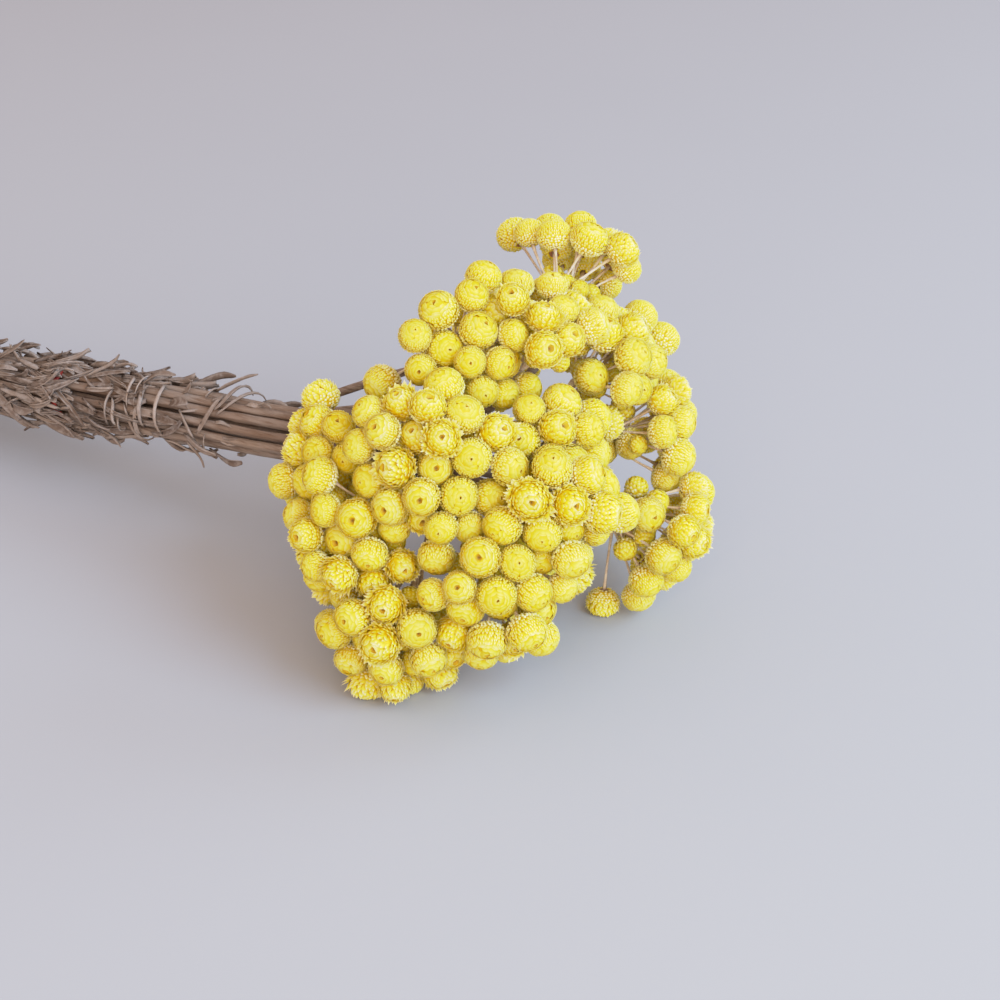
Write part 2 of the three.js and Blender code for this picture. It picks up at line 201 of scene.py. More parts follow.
def place_spray(index, values):
    """Where one spray's stem forks, and where its crown of heads is and faces."""
    spray = dict(zip(SPRAY_VALUES, values), index=index, name=f"spray_{index + 1:02d}")
    out = toward(spray["lean"], spray["around"])
    spray["crown"] = MIDDLE + out * spray["reach"]
    spray["facing"] = unit(out + np.array(spray["turn"]))
    spray["fork"] = spray["crown"] - spray["facing"] * spray["fan"]
    return spray


def crown_point(spray, off, turn, away):
    """A point at a distance from a spray's fork, leaning off its facing towards a turn."""
    first, second = sideways(spray["facing"])
    side = first * math.cos(turn) + second * math.sin(turn)
    return spray["fork"] + away * (spray["facing"] * math.cos(off) + side * math.sin(off))


def new_head(spray, place, radius, away, home, stray):
    return {
        "spray": spray, "place": place.tolist(), "radius": radius, "away": away,
        "home": home.tolist(), "pull": CROWN_PULL[stray], "stray": stray,
    }


def place_heads(spray):
    """The heads of one spray, in a spiral over its crown, before they settle."""
    draw = seeded(HEAD_SEED + spray["index"] * HEAD_SEED_STEP)
    heads = []
    for i in range(spray["heads"]):
        radius = HEAD_RADIUS[0] + HEAD_RADIUS[1] * draw()
        off = HEAD_STEP * math.sqrt(i + HEAD_FIRST) / spray["fan"]
        away = spray["fan"] * (AWAY[0] + AWAY[1] * draw())
        place = crown_point(spray, off, i * GOLDEN_ANGLE + spray["index"], away)
        heads.append(new_head(spray, place, radius, away, spray["crown"], False))
    return heads


def place_stray(sprays, number, lean, turn, reach, radius):
    """A head that stands off on its own, held close to its place."""
    spray = sprays[number]
    home = MIDDLE + toward(lean, turn) * reach
    away = float(np.linalg.norm(home - spray["fork"]))
    return new_head(spray, home, radius, away, home, True)


def push_apart(heads):
    """Moves each pair of heads that overlap away from each other."""
    reach = 2 * sum(HEAD_RADIUS) + 1
    for i, head in enumerate(heads):
        x, y, z = head["place"]
        for other in heads[i + 1:]:
            place = other["place"]
            dx = place[0] - x
            if abs(dx) > reach:
                continue
            dy = place[1] - y
            dz = place[2] - z
            gap = 0 if head["spray"] is other["spray"] else NEIGHBOUR_GAP
            wanted = head["radius"] + other["radius"] + gap
            found = dx * dx + dy * dy + dz * dz
            if found < wanted * wanted:
                found = math.sqrt(found)
                share = PUSH * (wanted - found) / found
                for axis, off in enumerate((dx, dy, dz)):
                    head["place"][axis] -= off * share
                    place[axis] += off * share
                x, y, z = head["place"]


def clear_pedicels(heads):
    """Moves heads away from the pedicels of other sprays."""
    for owner in heads:
        root = [f + (p - f) * FORK for f, p in zip(owner["spray"]["fork"], owner["place"])]
        stalk = [p - r for p, r in zip(owner["place"], root)]
        length = stalk[0] ** 2 + stalk[1] ** 2 + stalk[2] ** 2
        far = math.sqrt(length) + sum(HEAD_RADIUS) + 2
        for head in heads:
            place = head["place"]
            ex = place[0] - root[0]
            if abs(ex) > far or head["spray"] is owner["spray"]:
                continue
            ey = place[1] - root[1]
            ez = place[2] - root[2]
            along = max(0, (ex * stalk[0] + ey * stalk[1] + ez * stalk[2]) / length)
            if along > 1:
                continue
            ex -= stalk[0] * along
            ey -= stalk[1] * along
            ez -= stalk[2] * along
            wanted = head["radius"] + PEDICEL_ROOM
            found = ex * ex + ey * ey + ez * ez
            if found < wanted * wanted:
                found = math.sqrt(found)
                share = PUSH * (wanted - found) / found
                for axis, off in enumerate((ex, ey, ez)):
                    place[axis] += off * share
                    owner["place"][axis] -= off * share * along


def pull_home(head):
    """Draws a head back to its distance from the fork and to its place in the crown."""
    fork, place, home = head["spray"]["fork"], head["place"], head["home"]
    out = [p - f for p, f in zip(place, fork)]
    length = math.sqrt(out[0] ** 2 + out[1] ** 2 + out[2] ** 2)
    share = PEDICEL_PULL * (head["away"] - length) / length
    for axis in range(3):
        place[axis] += out[axis] * share + (home[axis] - place[axis]) * head["pull"]


def settle(heads):
    """Presses the heads together until they lie side by side, none below the table."""
    for turn in range(ROUNDS):
        push_apart(heads)
        if turn > ROUNDS - CLEARING_ROUNDS:
            clear_pedicels(heads)
        for head in heads:
            if turn <= ROUNDS - FREE_ROUNDS:
                pull_home(head)
            head["place"][2] = max(head["place"][2], head["radius"] * SEAT)


def fork_heads(spray, heads):
    """Umbels of a corymb: its middle heads share one fork, the outer ones go in groups."""
    first, second = sideways(spray["facing"])

    def lean(head):
        out = unit(np.array(head["place"]) - spray["fork"])
        return math.acos(min(1, out @ spray["facing"]))

    def turn(head):
        out = np.array(head["place"]) - spray["fork"]
        return math.atan2(out @ second, out @ first)

    by_lean = sorted(heads, key=lean)
    middle = max(UMBEL_LEAST, math.floor(len(heads) * UMBEL_SHARE + 0.5))
    outer = sorted(by_lean[middle:], key=turn)
    count = max(2, math.floor(len(outer) / UMBEL_SIZE + 0.5))
    cuts = [math.floor(i * len(outer) / count + 0.5) for i in range(count + 1)]
    groups = [by_lean[:middle]] + [outer[a:b] for a, b in zip(cuts, cuts[1:])]
    umbels = []
    for members in groups:
        mean = np.mean([head["place"] for head in members], axis=0)
        umbels.append((spray["fork"] + (mean - spray["fork"]) * FORK, members))
    return umbels


def bundle_point(spray, along):
    """A point of a stem in the bundle, which loosens towards the cut ends."""
    back = max(0, -along) / STEM_LENGTH
    spread = ROWS[spray["row"]] * (1 + LOOSENING * back * back)
    return THROAT + ALONG * along + around(spray["slot"]) * spread


def bezier(a, b, c, d, t):
    s = 1 - t
    return a * s ** 3 + b * (3 * s * s * t) + c * (3 * s * t * t) + d * t ** 3


def stem_line(spray, cut):
    """The line of one stem, from its cut end along the bundle and up to its corymb."""
    bundled = [1 - i / BUNDLED_POINTS for i in range(BUNDLED_POINTS)]
    points = [bundle_point(spray, -cut * share) for share in bundled]
    start = bundle_point(spray, 0)
    tip = spray["fork"] - spray["facing"] * NECK
    end = tip - spray["facing"] * STEM_RADIUS
    span = np.linalg.norm(end - start)
    spread = PARTING * ROWS[spray["row"]] if spray["part"] is None else spray["part"]
    leave = start + unit(ALONG + around(spray["slot"]) * spread) * span * LEAVING
    arrive = end - spray["facing"] * span * ARRIVING
    for i in range(PARTED_POINTS + 1):
        points.append(bezier(start, leave, arrive, end, i / PARTED_POINTS))
    return points + [tip]


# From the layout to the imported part: the band shows how far the solids were moved

band_low, band_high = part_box("binding_band")
SHIFT = (np.array(band_low) + np.array(band_high)) / 2 / MM - (THROAT + ALONG * BAND_PLACE)


def placed(point):
    """A point of the layout, in metres and in the part's own frame."""
    return Vector((np.array(point) + SHIFT) * MM)


# Mesh building


def basis(direction):
    """A turn whose Z axis is the direction."""
    z = Vector(direction).normalized()
    x = Vector((0, 0, 1)).cross(z)
    if x.length < 1e-4:
        x = Vector((1, 0, 0)).cross(z)
    x.normalize()
    return Matrix((x, z.cross(x), z)).transposed()


def rings_along(line, radii):
    """One matrix for each point of a line, carried along it without twisting."""
    tangents = [(b - a).normalized() for a, b in zip(line, line[1:])]
    tangents = [tangents[0]] + [
        (a + b).normalized() for a, b in zip(tangents, tangents[1:])
    ] + [tangents[-1]]
    turned = basis(tangents[0])
    found = []
    previous = tangents[0]
    for point, tangent, radius in zip(line, tangents, radii):
        turned = previous.rotation_difference(tangent).to_matrix() @ turned
        previous = tangent
        found.append(Matrix.Translation(point) @ (turned * radius).to_4x4())
    return found


def add_stalk(bm, line, radii, sides, tone, shape=(1.0,)):
    """A closed stalk along a line, with a radius at each of its points, ridged by shape."""
    tones = bm.verts.layers.float["tone"]
    matrices = rings_along(line, radii)
    ring = bmesh.ops.create_circle(bm, segments=sides, radius=1.0, cap_ends=False)["verts"]
    for i, vert in enumerate(ring):
        vert.co *= shape[i % len(shape)]
        vert[tones] = tone
    edges = list(dict.fromkeys(edge for vert in ring for edge in vert.link_edges))
    first = edges
    bmesh.ops.transform(bm, matrix=matrices[0], verts=ring)
    for before, after in zip(matrices, matrices[1:]):
        made = bmesh.ops.extrude_edge_only(bm, edges=edges)["geom"]
        ring = [part for part in made if isinstance(part, bmesh.types.BMVert)]
        edges = [part for part in made if isinstance(part, bmesh.types.BMEdge)]
        bmesh.ops.transform(bm, matrix=after @ before.inverted(), verts=ring)
        for vert in ring:
            vert[tones] = tone
    bmesh.ops.contextual_create(bm, geom=first)
    bmesh.ops.contextual_create(bm, geom=edges)


def mesh_with(*layers):
    """An empty mesh with a number at each corner for each of the names."""
    bm = bmesh.new()
    for layer in layers:
        bm.verts.layers.float.new(layer)
    return bm


def kept_mesh(bm, name):
    """Ends the making of a mesh and gives it its name."""
    mesh = bpy.data.meshes.new(name)
    bm.to_mesh(mesh)
    bm.free()
    return mesh


def linked(name, data):
    """A new object of the scene with this mesh, lamp or camera."""
    made = bpy.data.objects.new(name, data)
    bpy.context.scene.collection.objects.link(made)
    return made


def finish_piece(bm, name, material, nodes=()):
    """Turns a mesh in the part's own frame into a piece that rides on the bunch."""
    for face in bm.faces:
        face.smooth = True
    mesh = kept_mesh(bm, name)
    mesh.materials.append(material)
    piece = linked(name, mesh)
    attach(piece, "root")
    if nodes:
        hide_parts(*nodes)


# Flower heads, in radii of the head, front towards +Z

FRONT_FLAT = 0.95
BACK_FLAT = 0.88
HOLE_REACH = 2.2
BRACT_LEVEL = 0.99
RAGGED_BACK = 1.6
WRAP_STEP = 11
WRAP_LAP, WRAP_WIDTH = 2.2, 1.45
WRAP_COUNT = (6, 2)
SCALE_LAP, SCALE_WIDTH = 2.1, 1.16
KNOB_LAP, KNOB_WIDTH = 2.1, 1.2
KNOBS_FROM = 98
BACK_END = 157
BROADEST_BACK = 153
FLARE_MIDDLE, FLARE_SPREAD = 1.1, 0.7
TABLE_GAP, TABLE_PRESS, TABLE_SOFTNESS = 0.0004, 0.0003, 0.0006
HEAD_KINDS = [
    {"hole": 4.5, "dip": 0.06, "flare": 0.0, "ragged": 0.02},
    {"hole": 6, "dip": 0.1, "flare": 0.0, "ragged": 0.03},
    {"hole": 8, "dip": 0.15, "flare": 0.01, "ragged": 0.04},
    {"hole": 11, "dip": 0.2, "flare": 0.03, "ragged": 0.06},
    {"hole": 12, "dip": 0.22, "flare": 0.12, "ragged": 0.11},
    {"hole": 9, "dip": 0.16, "flare": 0.24, "ragged": 0.17},
]
OPEN_HEAD = {"wraps": 4, "pitch": 9.5, "round": 44, "knob_pitch": 10, "knobs": 33}
RAGGED_HEAD = {"wraps": 2, "pitch": 10, "round": 30, "knob_pitch": 9.5, "knobs": 30}
HEAD_LAYERS = ("tip", "back", "tone")
BUD = {"hole": 4, "dip": 0.05, "flare": 0.0, "ragged": 0.03}
CLOSED_BUD = {"wraps": 2, "pitch": 15, "round": 17, "knob_pitch": 17, "knobs": 15}

# The globe under the bracts: its sunken base, the angles of its sides, and the cup of the
# hole as shares of the rim's radius and heights over the rim

CORE = 0.9
CORE_SIDES = 8
CORE_BASE = [(0.0, -0.7), (0.15, -0.71), (0.25, -0.8), (0.36, -0.76)]
CORE_ANGLES = (136, 105, 74, 46)
CORE_CUP = [(1.3, 0.01), (1.0, -0.04), (0.7, -0.15), (0.0, -0.17)]
RIM_ANGLE, RIM_HEIGHT = 1.05, 0.04
BASE_TOP, BASE_RADIUS = -0.66, 0.4


def close_underside(bm, middle):
    """Joins the rim of an open bract to one point under it, and keeps the rim crisp."""
    rim = [edge for edge in bm.edges if edge.is_boundary]
    made = bmesh.ops.extrude_edge_only(bm, edges=rim)["geom"]
    under = [part for part in made if isinstance(part, bmesh.types.BMVert)]
    bmesh.ops.pointmerge(bm, verts=under, merge_co=(0, middle, -0.05))
    bmesh.ops.triangulate(bm, faces=bm.faces)
    bmesh.ops.recalc_face_normals(bm, faces=bm.faces)
    for edge in rim:
        edge.smooth = False


def spike(name, corners, point, under):
    """A small bract with four corners and a closed base. Given are the places along it of
    its near, middle and far corners, its point's place and height, and its base's height."""
    bm = bmesh.new()
    made = bmesh.ops.create_cone(
        bm, cap_ends=True, cap_tris=False, segments=4, radius1=1.0, radius2=0.0, depth=1.0
    )["verts"]
    for vert in made:
        x, y, z = vert.co
        vert.co = (0.0, *point) if z > 0 else (x, corners[round(y) + 1], under)
    bmesh.ops.triangulate(bm, faces=bm.faces)
    bmesh.ops.recalc_face_normals(bm, faces=bm.faces)
    for edge in bm.edges:
        edge.smooth = any(vert.co.z > 0 for vert in edge.verts)
    return kept_mesh(bm, name)


def curled_bract():
    """A longer bract of a ragged head, broad in the middle and pointed."""
    bm = bmesh.new()
    grid = bmesh.ops.create_grid(bm, x_segments=2, y_segments=2, size=1.0)["verts"]
    for vert in grid:
        middle = abs(vert.co.y) < 0.5
        along = 0.62 if middle else max(0.0, vert.co.y)
        keel = 0.03 if middle and abs(vert.co.x) < 0.5 else 0.0
        vert.co = (vert.co.x if middle else 0.0, along, keel)
    bmesh.ops.remove_doubles(bm, verts=bm.verts, dist=0.001)
    close_underside(bm, 0.55)
    return kept_mesh(bm, "curled_bract")


def rounded_bract():
    """A broad bract of the front, whose rounded end makes part of a ring."""
    bm = bmesh.new()
    grid = bmesh.ops.create_grid(bm, x_segments=2, y_segments=1, size=1.0)["verts"]
    for vert in grid:
        width = 1.0 if vert.co.y < 0 else 0.66
        along = (vert.co.y + 1) / 2
        along -= 0.16 * abs(vert.co.x) * max(0.0, vert.co.y)
        vert.co = (vert.co.x * width, along, 0.0)
    close_underside(bm, 0.5)
    return kept_mesh(bm, "rounded_bract")


def copied(bm, form):
    """Adds a copy of a form to a mesh and gives its corners."""
    start = len(bm.verts)
    bm.from_mesh(form)
    bm.verts.ensure_lookup_table()
    return bm.verts[start:]


def on_globe(polar, azimuth, out, dip, hole):
    """A point of the head's surface, flattened front and back, with the hole's dip."""
    z = math.cos(polar) * (FRONT_FLAT if polar < math.pi / 2 else BACK_FLAT)
    r = math.sin(polar)
    rim = HOLE_REACH * hole
    if polar < rim:
        z -= dip * (1 - polar / rim) ** 2
    return Vector((r * math.cos(azimuth), r * math.sin(azimuth), z)) * out


def lay_bract(bm, form, kind, tip, azimuth, span, half_width, lift, skew, rise):
    """Lays one bract on the globe, its root under its neighbours, its tip to the front."""
    verts = copied(bm, form)
    tips = bm.verts.layers.float["tip"]
    backs = bm.verts.layers.float["back"]
    hole = math.radians(kind["hole"])
    for vert in verts:
        u, v, thick = vert.co
        polar = max(tip + span * (1 - v), math.radians(3))
        spread = half_width / max(math.sin(polar), 0.1)
        out = BRACT_LEVEL - rise * (1 - v) + lift * v * v * v + thick
        vert.co = on_globe(polar, azimuth + u * spread + skew * v, out, kind["dip"], hole)
        vert[tips] = min(1.0, max(0.0, (v - 0.3) / 0.7 + 3 * max(0, thick)))
        vert[backs] = min(0.9, tip / math.pi + RAGGED_BACK * kind["ragged"])


def head_core(bm, kind):
    """The globe under the bracts, with the cup of the hole and the sunken brown base."""
    hole = math.radians(kind["hole"])
    profile = list(CORE_BASE)
    for degrees in CORE_ANGLES:
        point = on_globe(math.radians(degrees), 0, CORE, kind["dip"], hole)
        profile.append((point.x, point.z))
    rim = on_globe(hole * RIM_ANGLE, 0, CORE + RIM_HEIGHT, kind["dip"], hole)
    profile += [(rim.x * share, rim.z + height) for share, height in CORE_CUP]
    start = len(bm.verts)
    verts = [bm.verts.new((r, 0, z)) for r, z in profile]
    edges = [bm.edges.new(pair) for pair in zip(verts, verts[1:])]
    bmesh.ops.spin(
        bm, geom=verts + edges, axis=(0, 0, 1), cent=(0, 0, 0),
        steps=CORE_SIDES, angle=2 * math.pi, use_merge=True,
    )
    bm.verts.ensure_lookup_table()
    tips = bm.verts.layers.float["tip"]
    backs = bm.verts.layers.float["back"]
    for vert in bm.verts[start:]:
        radius = math.hypot(vert.co.x, vert.co.y)
        vert[tips] = 0.05
        if vert.co.z > 0 and radius < rim.x * 1.05:
            vert[tips] = -1.0 + 0.5 * radius / rim.x
        vert[backs] = 1.2 if vert.co.z < BASE_TOP and radius < BASE_RADIUS else 0.5
    bmesh.ops.remove_doubles(bm, verts=bm.verts[start:], dist=0.0005)
    bmesh.ops.recalc_face_normals(bm, faces=bm.faces)


def lay_wraps(bm, kind, build, draw):
    """The broad bracts that close round the hole."""
    step = math.radians(WRAP_STEP)
    for row in range(build["wraps"]):
        tip = math.radians(kind["hole"]) + row * step
        count = WRAP_COUNT[0] + row * WRAP_COUNT[1]
        half_width = math.pi * math.sin(tip + step * 0.9) / count * WRAP_WIDTH
        for i in range(count):
            lay_bract(
                bm, ROUNDED, kind, tip + step * draw.uniform(-0.3, 0.4),
                (i + 0.5 * (row % 2)) * 2 * math.pi / count + draw.uniform(-0.2, 0.2),
                step * WRAP_LAP, half_width * draw.uniform(0.8, 1.2),
                0.008 * draw.random() + kind["ragged"] * 0.4 * draw.random(), 0.0, 0.03,
            )


def lay_row(bm, form, kind, polar, start, offset, sizes, lifts, draw):
    """One row of bracts, offset by so many of them from the row's start.

    Sizes are count, pitch, lap and width; lifts are the least and the most.
    """
    count, pitch, lap, width = sizes
    tip = math.radians(polar)
    pitch = math.radians(pitch)
    wide = math.sin(min(tip + pitch * 0.6, math.radians(BROADEST_BACK)))
    count = max(5, round(count * wide))
    place = 2 * math.pi / count
    flare = kind["flare"] * math.exp(-(((tip - FLARE_MIDDLE) / FLARE_SPREAD) ** 2))
    for i in range(count):
        turn = start + (i + offset) * place
        lift = draw.uniform(*lifts) + kind["ragged"] * draw.random() ** 1.6
        lift += flare * (0.55 + 0.45 * math.sin(2 * turn - start)) * draw.uniform(0.2, 1.5)
        lay_bract(
            bm, form, kind, tip + pitch * draw.uniform(-0.27, 0.27),
            turn + place * draw.uniform(-0.2, 0.2), pitch * lap,
            math.pi * wide / count * width, lift,
            draw.uniform(-0.05, 0.05) * (1 + 12 * flare), 0.04,
        )


def lay_rows(bm, kind, build, draw):
    """The rows of narrow bracts from the front's edge to the base, knobbed at the back."""
    polar = kind["hole"] + (build["wraps"] - 0.3) * WRAP_STEP
    form = CURLED if build is RAGGED_HEAD else SCALE
    start = draw.uniform(0, 2 * math.pi)
    scales = (build["round"], build["pitch"], SCALE_LAP, SCALE_WIDTH)
    knobs = (build["knobs"], build["knob_pitch"], KNOB_LAP, KNOB_WIDTH)
    row = 0
    while polar < BACK_END:
        if polar < KNOBS_FROM:
            low = 0.003 + 0.012 * (polar / 90) ** 3
            lay_row(bm, form, kind, polar, start, 0.5 * row, scales, (low, low + 0.022), draw)
            polar += build["pitch"]
        else:
            lay_row(bm, KNOBBED, kind, polar, start, 0.5 * row, knobs, (0.0, 0.03), draw)
            polar += build["knob_pitch"]
        row += 1


def head_form(kind, build, seed):
    """One flower head: broad bracts round the hole, rows of narrow ones behind, a core."""
    draw = random.Random(seed)
    bm = mesh_with(*HEAD_LAYERS)
    lay_wraps(bm, kind, build, draw)
    lay_rows(bm, kind, build, draw)
    head_core(bm, kind)
    return kept_mesh(bm, "head_form")


def add_head(bm, form, centre, facing, radius, spin, squash, tone):
    """Adds one flower head to its spray, kept above the table."""
    form.attributes["tone"].data.foreach_set("value", [tone] * len(form.vertices))
    verts = copied(bm, form)
    shape = Matrix.Diagonal((radius * squash, radius / squash, radius, 1))
    turned = basis(facing).to_4x4() @ Matrix.Rotation(spin, 4, "Z")
    bmesh.ops.transform(bm, matrix=Matrix.Translation(centre) @ turned @ shape, verts=verts)
    if centre.z < radius * 1.4:
        for vert in verts:
            depth = TABLE_GAP - vert.co.z
            if depth > 0:
                vert.co.z = TABLE_GAP - TABLE_PRESS * (1 - math.exp(-depth / TABLE_SOFTNESS))


# Finishes

MIX_FACTOR, MIX_FIRST, MIX_SECOND, MIX_RESULT = 0, 6, 7, 2


def feed(tree, target, inputs):
    """Gives each of a node's inputs its value or the output of another node."""
    for name, value in inputs.items():
        if isinstance(value, bpy.types.NodeSocket):
            tree.links.new(value, target.inputs[name])
        else:
            target.inputs[name].default_value = value


def node(tree, kind, inputs=None, **settings):
    made = tree.nodes.new(kind)
    for key, value in settings.items():
        setattr(made, key, value)
    feed(tree, made, inputs or {})
    return made


def new_material(name, roughness, specular):
    material = bpy.data.materials.new(name)
    material.use_nodes = True
    tree = material.node_tree
    shader = tree.nodes["Principled BSDF"]
    feed(tree, shader, {"Roughness": roughness, "Specular IOR Level": specular})
    return material, tree, shader


def attribute(tree, name):
    return node(tree, "ShaderNodeAttribute", attribute_name=name).outputs["Fac"]


def noise(tree, scale, detail, stretch=None, roughness=0.5):
    """Fine variation over a piece, stretched along it where a stretch is given."""
    place = node(tree, "ShaderNodeTexCoord").outputs["Object"]
    if stretch:
        mapping = node(tree, "ShaderNodeMapping", {"Scale": stretch, "Vector": place})
        place = mapping.outputs["Vector"]
    inputs = {"Scale": scale, "Detail": detail, "Roughness": roughness, "Vector": place}
    return node(tree, "ShaderNodeTexNoise", inputs).outputs["Fac"]


def spread(tree, value, low, high, to_low=0.0, to_high=1.0):
    """Maps a value from one range to another, clamped."""
    inputs = {"From Min": low, "From Max": high, "To Min": to_low, "To Max": to_high}
    return node(tree, "ShaderNodeMapRange", inputs | {"Value": value}).outputs["Result"]


def mixed(tree, factor, first, second, blend="MIX"):
    """A colour between two others."""
    inputs = {MIX_FACTOR: factor, MIX_FIRST: first, MIX_SECOND: second}
    made = node(tree, "ShaderNodeMix", inputs, data_type="RGBA", blend_type=blend)
    return made.outputs[MIX_RESULT]


def coat(tree, shader, shade, height, strength, distance):
    """Gives a surface its colour and its fine relief."""
    inputs = {"Strength": strength, "Distance": distance, "Height": height}
    relief = node(tree, "ShaderNodeBump", inputs).outputs["Normal"]
    feed(tree, shader, {"Normal": relief, "Base Color": shade})


def colour(red, green, blue):
    """A colour from its values on screen, 0 to 255."""
    def linear(value):
        value /= 255
        return value / 12.92 if value <= 0.04045 else ((value + 0.055) / 1.055) ** 2.4

    return (linear(red), linear(green), linear(blue), 1.0)


def bract_material():
    """Papery bracts: deep yellow in front, straw behind, pale at the tips, brown in the hole."""
    material, tree, shader = new_material("papery_bracts", 0.55, 0.25)
    tip, back, tone = (attribute(tree, name) for name in ("tip", "back", "tone"))
    to_side = spread(tree, back, 0.2, 0.36)
    to_back = spread(tree, back, 0.42, 0.66)

    def by_place(front, side, behind):
        return mixed(tree, to_back, mixed(tree, to_side, front, side), behind)

    front = mixed(tree, tone, colour(246, 222, 12), colour(246, 230, 58))
    front = mixed(tree, spread(tree, back, 0.03, 0.16, 0.6, 0.0), front, colour(246, 206, 8))
    side = mixed(tree, tone, colour(246, 226, 24), colour(246, 232, 78))
    body = by_place(front, side, colour(242, 224, 60))
    # Painted shade: the roots, which show only in the gaps between bracts, are a deeper golden
    root = by_place(colour(248, 212, 4), colour(244, 208, 8), colour(240, 206, 30))
    pale = by_place(colour(250, 240, 110), colour(250, 246, 176), colour(250, 246, 204))
    body = mixed(tree, spread(tree, tip, 0.55, 1.0), body, pale)
    body = mixed(tree, spread(tree, tip, 0.1, 0.6), root, body)
    # Painted shadow lines: brown flecks along the bract ends, where each ring overlaps the next
    ends = spread(tree, tip, 0.86, 0.97)
    specks = spread(tree, noise(tree, 330, 2), 0.5, 0.62)
    rim = node(tree, "ShaderNodeMath", {0: ends, 1: specks}, operation="MULTIPLY")
    edge_shadow_tint = mixed(tree, to_side, colour(206, 156, 50), colour(228, 200, 120))
    body = mixed(tree, rim.outputs[0], body, mixed(tree, 0.4, body, edge_shadow_tint))
    cup = mixed(tree, spread(tree, tip, -0.95, -0.55), colour(112, 84, 24), colour(206, 166, 26))
    body = mixed(tree, spread(tree, tip, -0.3, -0.05), cup, body)
    base = mixed(tree, spread(tree, back, 1.0, 1.15), body, colour(150, 108, 84))
    streaks = noise(tree, 900, 3, roughness=0.6)
    worn = spread(tree, streaks, 0.4, 0.8, 0.0, 0.2)
    shade = mixed(tree, worn, base, colour(246, 224, 120), "MULTIPLY")
    coat(tree, shader, shade, streaks, 0.12, 0.0002)
    glow = {"Weight": 0.4, "Radius": (1.0, 0.85, 0.3), "Scale": 0.0012}
    feed(tree, shader, {f"Subsurface {name}": value for name, value in glow.items()})
    return material


# Dry finishes: roughness and gloss; two tones; layers of patches, wool or fibres over them,
# each with its noise's scale, detail, stretch and roughness, where in the noise it begins and
# is full, its least and greatest share, and a colour; the last layer's relief

WOOLLY_STALKS = (
    (0.8, 0.2), ((172, 144, 112), (218, 200, 172)),
    [
        ((260, 4, None, 0.65), (0.42, 0.62, 0.0, 0.75), (226, 216, 200)),
        ((1500, 2), (0.5, 0.8, 0.0, 0.5), (128, 98, 70)),
    ],
    (0.6, 0.0002),
)
FIBROUS_STEMS = (
    (0.9, 0.1), ((122, 102, 87), (150, 131, 115)),
    [
        ((90, 3, (0.35, 1, 1)), (0.42, 0.6, 0.0, 0.75), (150, 138, 128)),
        ((1100, 4, (0.05, 1, 1), 0.65), (0.48, 0.66, 0.0, 0.7), (104, 82, 66)),
    ],
    (0.8, 0.0006),
)
WITHERED_LEAVES = (
    (0.9, 0.1), ((90, 75, 65), (146, 131, 119)),
    [((420, 4, None, 0.6), (0.42, 0.66, 0.0, 0.55), (164, 156, 150))],
    (0.8, 0.0004),
)


def dry_material(name, shine, tones, layers, relief):
    """A dry surface in two tones, under layers of patches, wool or fibres."""
    material, tree, shader = new_material(name, *shine)
    shade = mixed(tree, attribute(tree, "tone"), *(colour(*tone) for tone in tones))
    for grain, reach, tint in layers:
        height = noise(tree, *grain)
        shade = mixed(tree, spread(tree, height, *reach), shade, colour(*tint))
    coat(tree, shader, shade, height, *relief)
    return material


def band_material():
    """Red elastic, a little faded and dusty."""
    material, tree, shader = new_material("red_elastic", 0.6, 0.4)
    grain = noise(tree, 1200, 2)
    body = mixed(tree, grain, colour(150, 44, 40), colour(178, 70, 58))
    coat(tree, shader, body, grain, 0.3, 0.0001)
    return material


# Leaves: how long, wide, raised and curled each kind is, from least to most; how many there
# are by the stem's row; and the small place where none covers the band

SMALL_LEAF = ((5, 11), (1.3, 2.4), (0.05, 0.5), (-2.4, 1.0))
LITTER_LEAF = ((8, 17), (1.8, 3.4), (-0.05, 0.22), (-0.9, 0.7))
SMALL_LEAVES = (4, 10, 16)
LITTER_LEAVES = 34
RIBBONS = 2
BAND_COVER = 0.28
BAND_COVER_PLACE = (2, 9)
BARE_TURN, BARE_ANGLE, BARE_LENGTH = 212, 9, 9
RIBBON_PLACE, RIBBON_LONG = (-66, -24), (6, 17)
RIBBON_STEPS = 10
BLADE_THICK = 0.00025
LOWEST_LEAF, LOWEST_BARK = 0.0005, 0.0002


def leaf_spots(spray, draw):
    """How far back a stem is cut, and the root and size of each leaf that its solid has."""
    cut = STEM_LENGTH - (0 if spray["slot"] == LOWEST_SLOT else STEM_TRIM * draw())
    if spray["row"] != 2:
        return cut, []
    place = -cut + LEAF_FIRST[0] + LEAF_FIRST[1] * draw()
    places = []
    while place < LEAF_LAST:
        if abs(place + BAND_WIDTH - BAND_PLACE) > BAND_LEAFLESS:
            places.append(place)
        place += LEAF_STEP * (LEAF_STEP_SHARE[0] + LEAF_STEP_SHARE[1] * draw())
    return cut, [leaf_line(spray, place, draw) for place in places]


def leaf_line(spray, place, draw):
    """The line that a main leaf follows, and the direction across it."""
    out = around(spray["slot"])
    side = np.cross(ALONG, out)
    long = LEAF_LENGTH[0] + LEAF_LENGTH[1] * draw()
    rise = math.radians(LEAF_RISE[0] + LEAF_RISE[1] * draw())
    curl = math.radians(LEAF_CURL[0] + LEAF_CURL[1] * draw())
    root = bundle_point(spray, place)
    collar = root + ALONG * LEAF_COLLAR[0] + out * LEAF_COLLAR[1] * STEM_RADIUS
    bend = collar + 0.5 * long * (ALONG * math.cos(rise) + out * math.sin(rise))
    tip = bend + 0.5 * long * (ALONG * math.cos(curl) + out * math.sin(curl))
    tip = tip + side * (draw() - 0.5)
    return [collar, bend, tip], side


